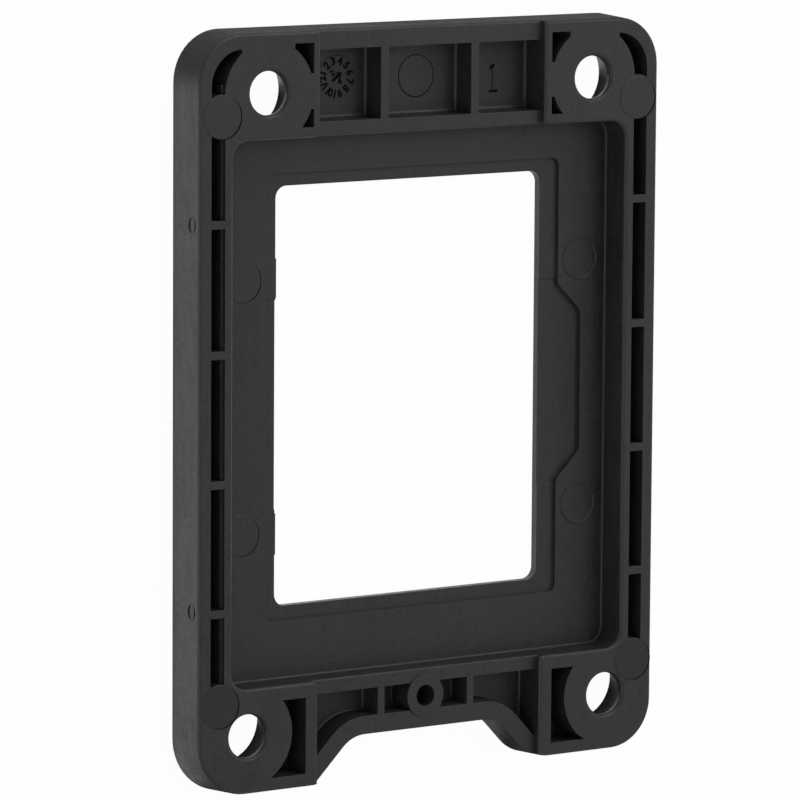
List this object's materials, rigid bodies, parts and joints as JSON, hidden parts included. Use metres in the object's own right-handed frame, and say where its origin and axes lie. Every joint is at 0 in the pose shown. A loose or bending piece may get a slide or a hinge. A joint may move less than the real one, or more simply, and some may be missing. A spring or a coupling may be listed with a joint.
{
  "type": "cpu socket retention frame",
  "caption": "Moulded frame with a stepped tray around a window, ribbed rails, pocketed bars, and corner blocks with screw holes, that holds a server processor on its socket.",
  "frame": {"origin": "middle of the outline, on the flat cover face", "axes": "+X across the width, +Y along the height towards the bar without the notch, +Z out of the ribbed mounting side"},
  "size_m": [0.0768, 0.1042, 0.0063],
  "materials": {
    "frame_plastic": "fine moulded satin"
  },
  "bodies": {
    "root": {"retention_frame": "frame_plastic"}
  },
  "joints": []
}
